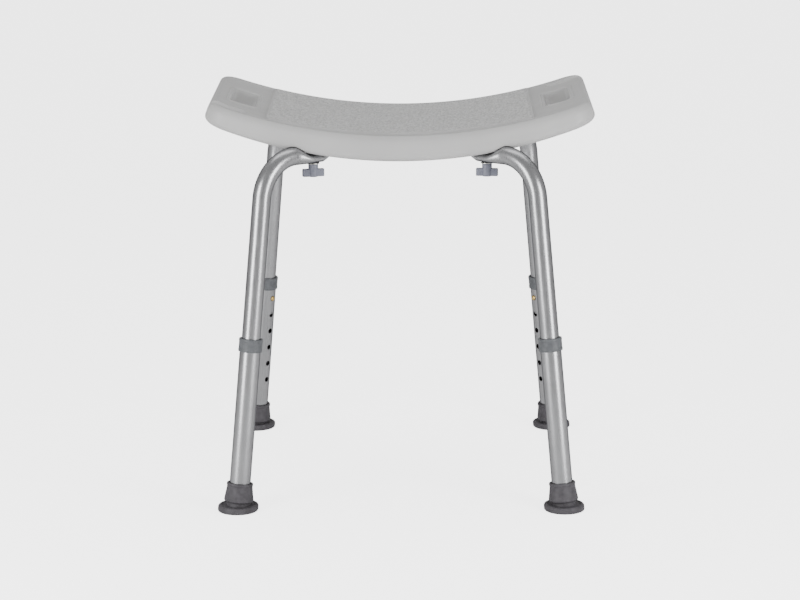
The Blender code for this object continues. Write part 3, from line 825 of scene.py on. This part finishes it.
def flat_half_height(place):
    """How far the tube is squashed between its bend and its tip. Its underside stays straight."""
    if place < -FLAT_HOLD:
        share = (place + FLAT_HOLD) / (FLAT_TIP + FLAT_HOLD)
        return FLAT_SCREW_HALF + (FLAT_TIP_HALF - FLAT_SCREW_HALF) * share
    if place <= FLAT_HOLD:
        return FLAT_SCREW_HALF
    share = (1 + math.cos(math.pi * (place - FLAT_HOLD) / (FLAT_START - FLAT_HOLD))) / 2
    return UPPER_RADIUS + (FLAT_SCREW_HALF - UPPER_RADIUS) * share


def upper_path():
    """Stations of (centre, tangent, half width, half height) in the screw frame, foot end first."""
    top_z = TUBE_TOP_Z - UPPER_RADIUS
    down = Vector((math.sin(LEG_LEAN), 0, -math.cos(LEG_LEAN)))
    corner = Vector((SCREW_TO_FOOT - top_z * math.tan(LEG_LEAN), 0, -UPPER_RADIUS))
    turn = math.pi / 2 - LEG_LEAN
    reach = BEND_RADIUS * math.tan(turn / 2)
    foot_end = Vector((SCREW_TO_FOOT, 0, -TUBE_TOP_Z)) - down * UPPER_END_UP
    middle = Vector((corner.x - reach, 0, -UPPER_RADIUS - BEND_RADIUS))
    bend_start = middle + BEND_RADIUS * Vector((math.sin(turn), 0, math.cos(turn)))
    stations = [(foot_end.lerp(bend_start, step / STRAIGHT_STEPS), -down, UPPER_RADIUS, UPPER_RADIUS)
                for step in range(STRAIGHT_STEPS)]
    for step in range(BEND_STEPS + 1):
        angle = turn * (1 - step / BEND_STEPS)
        point = middle + BEND_RADIUS * Vector((math.sin(angle), 0, math.cos(angle)))
        stations.append((point, Vector((-math.cos(angle), 0, math.sin(angle))), UPPER_RADIUS, UPPER_RADIUS))
    for step in range(1, FLAT_STEPS + 1):
        place = middle.x + (FLAT_TIP - middle.x) * step / FLAT_STEPS
        half = flat_half_height(min(place, FLAT_START))
        width = math.sqrt(2 * UPPER_RADIUS ** 2 - half ** 2)
        centre_z = FLAT_TOP - half if place < -FLAT_HOLD else FLAT_BOTTOM + half
        stations.append((Vector((place, 0, centre_z)), Vector((-1, 0, 0)), width, half))
    return stations


def upper_tube_mesh():
    bm = bmesh.new()
    skins = []
    for wall in (0.0, TUBE_WALL):
        skins.append([tube_ring(bm, centre, tangent, side - wall, thick - wall)
                      for centre, tangent, side, thick in upper_path()])
        join_rings(bm, skins[-1])
    for end in (0, -1):
        join_rings(bm, [skins[0][end], skins[1][end]])
    return mesh_from(bm, "upper_tube")


def rod_mesh(name, radius, low, high):
    return revolved(name, [(0, high), (radius, high), (radius, low), (0, low)], HOLE_SIDES)


def lower_tube_mesh():
    outside = LOWER_RADIUS
    inside = LOWER_RADIUS - TUBE_WALL
    steps = 14
    heights = [LOWER_END_UP + (LOWER_START_UP - LOWER_END_UP) * step / steps for step in range(steps + 1)]
    profile = [(outside - 0.0003, heights[0]), *((outside, up) for up in heights[1:]), (inside, heights[-1]),
               (inside, heights[0])]
    return revolved("lower_tube", profile, TUBE_SIDES)


def hole_cutter():
    """A drill with a flare at the tube's skin, which breaks the hole's edge."""
    skin = LOWER_RADIUS - 0.00035
    profile = [(0, 0.02), (HOLE_RADIUS + 0.0008, 0.02), (HOLE_RADIUS + 0.0008, skin + 0.0006),
               (HOLE_RADIUS, skin - 0.0002), (HOLE_RADIUS, 0.004), (0, 0.004)]
    return revolved("hole_cutter", profile, HOLE_SIDES)


def make_legs(materials):
    upper, lower = upper_tube_mesh(), lower_tube_mesh()
    screw_hole = rod_mesh("screw_hole", STUD_RADIUS + 0.0007, -0.03, 0.01)
    button_hole = rod_mesh("button_hole", BUTTON_RADIUS + GAP, 0.004, 0.02)
    adjust_hole = hole_cutter()
    for corner in CORNERS:
        screw, leg = screw_frame(corner), leg_frame(corner)
        button = screw.inverted() @ hole_frame(corner, 0)
        mesh = cut_mesh(upper, [(screw_hole, Matrix()), (button_hole, button)])
        add_piece(f"upper_tube_{corner}", mesh, materials["anodised_tube"], "seat_frame",
                  [f"upper_leg_{corner}"], screw)
        holes = [(adjust_hole, leg.inverted() @ hole_frame(corner, number)) for number in range(HOLE_COUNT)]
        mesh = cut_mesh(lower, holes)
        add_piece(f"lower_tube_{corner}", mesh, materials["anodised_tube"], f"lower_leg_{corner}",
                  [f"lower_leg_{corner}"], leg)


# ---------------------------------------------------------------- small parts


def collar_mesh():
    """A sleeve over the lower tube's top, with rounded rims and a lip that closes on the upper tube."""
    outside, bore, throat = COLLAR_RADIUS, LOWER_RADIUS + GAP, UPPER_RADIUS + GAP
    lip = LOWER_END_UP + GAP
    low, high = COLLAR_START_UP, COLLAR_END_UP
    profile = [(throat, high - 0.0006), (throat + 0.0006, high), (outside - 0.0002, high),
               (outside, high - 0.0030), (outside - 0.00035, high - 0.0042),
               (outside - 0.00035, low + 0.0042), (outside, low + 0.0030), (outside - 0.0002, low),
               (bore, low), (bore, lip), (throat, lip), (throat, high - 0.0006)]
    return revolved("collar", softened(profile, 0.0012)[1:-1], 64)


def button_mesh():
    dome = [(BUTTON_RADIUS * math.sin(turn), BUTTON_REACH - 0.0018 + 0.0018 * math.cos(turn))
            for turn in np.linspace(0, math.pi / 2, 10)]
    face = BUTTON_FLANGE_FACE
    wide = BUTTON_RADIUS + 0.0008
    return revolved("button", [*dome, (BUTTON_RADIUS, face), (wide, face), (wide, face - 0.0008),
                               (0, face - 0.0008)], 40)


def foot_ring(bm, radius, up, share, sides=72):
    """A ring round the leg's axis, tilted by SHARE of the lean. World axes, leaning toward -X."""
    tilt = Matrix.Rotation(-share * LEG_LEAN, 3, "Y")
    upright = Vector((-math.tan(LEG_LEAN) * up, 0, up))
    leaning = Vector((-math.sin(LEG_LEAN), 0, math.cos(LEG_LEAN))) * up
    centre = upright.lerp(leaning, share)
    return [bm.verts.new(centre + tilt @ Vector((radius * math.cos(angle), radius * math.sin(angle), 0)))
            for angle in (2 * math.pi * step / sides for step in range(sides))]


def foot_profile():
    """(radius, height, share of the lean) from the floor up over the pad, neck, cup and lip."""
    pad, bore, top = FOOT_PAD_RADIUS, LOWER_RADIUS + GAP, FOOT_HEIGHT_UP
    level = [(0.0215, 0.0011), (0.0225, 0.0), (pad - 0.0012, 0.0), (pad, 0.0014), (pad, 0.0066),
             (pad - 0.0013, 0.0085), (pad - 0.0048, 0.0088), (pad - 0.0060, 0.0076), (0.0165, 0.0082)]
    cup = [(0.0160, 0.0116), (0.0186, 0.0121), (0.0203, 0.0139), (0.0200, 0.0166), (0.0178, top - 0.0075),
           (0.0175, top - 0.0040), (0.0181, top - 0.0032), (0.0179, top), (bore, top),
           (bore, FOOT_FLOOR_UP)]
    level = softened(level, 0.0008, 3)
    cup = softened(cup, 0.0011, 3)
    return [(*point, 0) for point in level] + [(*point, 1) for point in cup]


def foot_mesh():
    """A rubber cup on the leg's lean, a deep neck, and a round pad that lies level on the floor."""
    bm = bmesh.new()
    rings = [foot_ring(bm, *station) for station in foot_profile()]
    join_rings(bm, rings)
    bm.faces.new(rings[0])
    bm.faces.new(rings[-1])
    return mesh_from(bm, "foot", 50)


def washer_mesh():
    inside, low = STUD_RADIUS + 2 * GAP, WASHER_TOP - WASHER_THICKNESS
    profile = [(inside, WASHER_TOP), (WASHER_RADIUS - 0.0002, WASHER_TOP),
               (WASHER_RADIUS, WASHER_TOP - 0.0003), (WASHER_RADIUS, low + 0.0002),
               (WASHER_RADIUS - 0.0002, low), (inside, low)]
    return revolved("washer", profile, 48)


def stud_mesh():
    """The screw moulded into the knob: a V thread as rings, as far apart as the knob drops in one turn."""
    low, high = KNOB_BOTTOM + 0.005, FLAT_TOP + INSERT_LENGTH - 0.001
    profile = [(0, high), (STUD_RADIUS - 0.0008, high)]
    up = high - 0.0008
    while up - THREAD_PITCH > low:
        profile += [(STUD_RADIUS, up), (STUD_RADIUS, up - 0.0002), (STUD_RADIUS - 0.0006, up - 0.0006)]
        up -= THREAD_PITCH
    profile += [(STUD_RADIUS, low), (0, low)]
    return revolved("stud", profile, 32)


def wing_mesh():
    """One flat wing of the knob with soft edges, thinner toward its end."""
    bm = bmesh.new()
    half, low, high = WING_THICKNESS / 2, KNOB_BOTTOM + 0.0002, KNOB_BOTTOM + WING_HEIGHT
    bmesh.ops.create_cube(bm, size=1)
    for vert in bm.verts:
        end = vert.co.x > 0
        across = half * (WING_TAPER if end else 1.0) * (1 if vert.co.y > 0 else -1)
        height = high - 0.0003 if vert.co.z > 0 else low
        vert.co = (WING_HALF_LENGTH if end else 0.001, across, height)
    bmesh.ops.bevel(bm, geom=bm.edges[:], offset=0.0013, segments=5, affect="EDGES", profile=0.5)
    return mesh_from(bm, "wing")


def knob_mesh():
    """A T knob: a round stem with a chamfered mouth, and two wings across its lower half."""
    radius = KNOB_STEM_RADIUS
    profile = [(0, KNOB_TOP - 0.0010), (STUD_RADIUS + GAP, KNOB_TOP - 0.0010), (STUD_RADIUS + GAP, KNOB_TOP),
               (radius, KNOB_TOP), (radius, KNOB_BOTTOM), (0, KNOB_BOTTOM)]
    profile = [profile[0], *softened(profile[1:], 0.0012)]
    stem = revolved("knob_stem", profile, 56)
    wing = wing_mesh()
    sides = [(wing, Matrix.Rotation(math.pi * half, 4, "Z")) for half in (0, 1)]
    return cut_mesh(stem, sides, "UNION")


def make_small_parts(materials):
    collar, button, foot = collar_mesh(), button_mesh(), foot_mesh()
    washer, stud, knob = washer_mesh(), stud_mesh(), knob_mesh()
    for corner in CORNERS:
        leg, screw, hole = leg_frame(corner), screw_frame(corner), hole_frame(corner, 0)
        turned = screw @ Matrix.Rotation(math.radians(WING_TURN[corner]), 4, "Z")
        level = frame_from(outward(corner), Vector((0, 0, 1)), foot_point(corner))
        rows = (
            ("collar", collar, "collar_plastic", "lower_leg", leg),
            ("button", button, "brass", "button", hole),
            ("foot", foot, "foot_rubber", "lower_leg", level),
            ("washer", washer, "zinc_steel", "washer", screw),
            ("stud", stud, "zinc_steel", "knob", screw),
            ("knob", knob, "knob_plastic", "knob", turned),
        )
        for kind, mesh, slot, body, matrix in rows:
            placed = mesh.copy()
            placed.transform(matrix)
            add_piece(f"{kind}_piece_{corner}", placed, materials[slot], f"{body}_{corner}",
                      [f"{kind}_{corner}"])


def dress_hidden_parts(materials):
    """The inserts, springs and foot washers stay as CAD made them, with their own metal."""
    for kind, slot in (("insert", "brass"), ("button_spring", "zinc_steel"), ("foot_washer", "zinc_steel")):
        for corner in CORNERS:
            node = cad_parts[f"{kind}_{corner}"]
            node.data.materials.clear()
            node.data.materials.append(materials[slot])


# ---------------------------------------------------------------- stage


def make_floor():
    """A pale floor. Light Path adds its glow for the camera's rays only."""
    mesh = bpy.data.meshes.new("studio_floor")
    signs = ((-1, -1), (1, -1), (1, 1), (-1, 1))
    corners = [(x * FLOOR_HALF_SIZE, y * FLOOR_HALF_SIZE, 0) for x, y in signs]
    mesh.from_pydata(corners, [], [(0, 1, 2, 3)])
    floor = bpy.data.objects.new("studio_floor", mesh)
    bpy.context.scene.collection.objects.link(floor)
    material, tree, shader = new_material("studio_floor", 0.9, specular=0.1)
    colour_from(tree, shader, noise(tree, 2, 2), (0.93, 0.93, 0.93), (0.95, 0.95, 0.95))
    shader.inputs["Emission Color"].default_value = (*FLOOR_GLOW, 1)
    seen = tree.nodes.new("ShaderNodeLightPath")
    tree.links.new(seen.outputs["Is Camera Ray"], shader.inputs["Emission Strength"])
    mesh.materials.append(material)


def area_light(name, place, target, size, power):
    data = bpy.data.lights.new(name, "AREA")
    data.shape = "RECTANGLE"
    data.size, data.size_y = size
    data.energy = power
    light = bpy.data.objects.new(name, data)
    light.location = place
    light.rotation_euler = (Vector(target) - Vector(place)).to_track_quat("-Z", "Y").to_euler()
    bpy.context.scene.collection.objects.link(light)


def make_light():
    world = bpy.data.worlds.new("studio")
    bpy.context.scene.world = world
    world.use_nodes = True
    world.node_tree.nodes["Background"].inputs["Color"].default_value = (1, 1, 1, 1)
    world.node_tree.nodes["Background"].inputs["Strength"].default_value = WORLD_STRENGTH
    for name, side in (("left_softbox", -1), ("right_softbox", 1)):
        area_light(name, (side * 1.15, -1.15, 0.62), (0, 0, 0.35), (0.55, 1.1), SOFTBOX_POWER)
    area_light("overhead_softbox", (0, 0.35, 1.9), (0, 0, 0.5), (1.5, 1.0), OVERHEAD_POWER)


def make_camera():
    data = bpy.data.cameras.new("camera")
    data.lens = CAMERA_LENS
    data.sensor_width = 36
    data.clip_start, data.clip_end = 0.1, 50
    camera = bpy.data.objects.new("camera", data)
    bpy.context.scene.collection.objects.link(camera)
    flat = math.cos(CAMERA_PITCH)
    forward = Vector((math.sin(CAMERA_YAW) * flat, math.cos(CAMERA_YAW) * flat, math.sin(CAMERA_PITCH)))
    level = forward.cross(Vector((0, 0, 1))).normalized()
    over = level.cross(forward)
    right = level * math.cos(CAMERA_ROLL) + over * math.sin(CAMERA_ROLL)
    camera.matrix_world = frame_from(right, -forward, Vector(CAMERA_PLACE))
    bpy.context.scene.camera = camera


def main():
    materials = make_materials()
    make_seat(materials)
    make_legs(materials)
    make_small_parts(materials)
    dress_hidden_parts(materials)
    make_floor()
    make_light()
    make_camera()


main()
